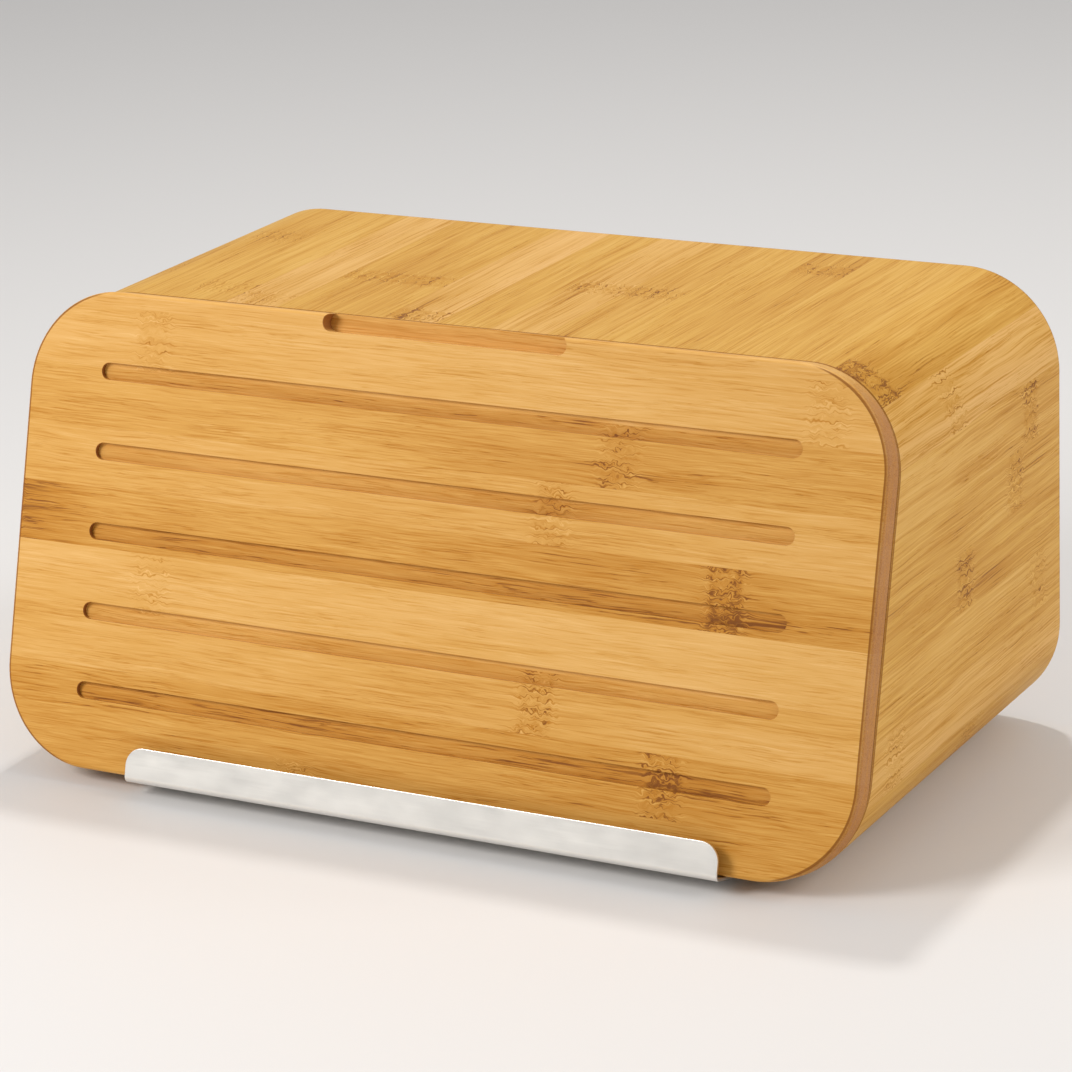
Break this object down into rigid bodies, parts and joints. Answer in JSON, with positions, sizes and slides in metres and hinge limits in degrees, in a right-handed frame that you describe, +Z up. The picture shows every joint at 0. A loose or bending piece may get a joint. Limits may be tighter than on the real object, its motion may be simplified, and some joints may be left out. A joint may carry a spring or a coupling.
{
  "type": "bread box",
  "caption": "Bamboo bread box, a rounded bent-wood tube with a slanted front closed by a grooved cutting board that stands in a folded steel lip and lifts off.",
  "frame": {"origin": "on the surface the feet stand on, midway across the width and midway between the steel lip's nose and the shell's rear edge", "axes": "+X to the box's right seen from the front, +Y to its rear, +Z up"},
  "size_m": [0.38, 0.2194, 0.1931],
  "materials": {
    "bamboo_wrap": "satin oiled bamboo, grain front to back",
    "bamboo_panel": "satin bamboo panel",
    "bamboo_board": "oiled edge-glued bamboo strips, grain across",
    "stainless_sheet": "satin stainless steel",
    "screw_steel": "zinc-plated steel",
    "foot_rubber": "matt black rubber"
  },
  "bodies": {
    "box": {"shell": "bamboo_wrap", "floor_panel": "bamboo_panel", "rear_panel": "bamboo_panel", "lip_bracket": "stainless_sheet", "lip_screws": "screw_steel", "foot_screws": "screw_steel", "foot_front_left": "foot_rubber", "foot_front_right": "foot_rubber", "foot_rear_left": "foot_rubber", "foot_rear_right": "foot_rubber"},
    "lid": {"lid_board": "bamboo_board"}
  },
  "joints": [
    {"name": "lid_lift", "type": "slide", "parent": "box", "child": "lid", "axis": [0, 0.2706, 0.9627], "range_m": [0, 0.205]}
  ]
}
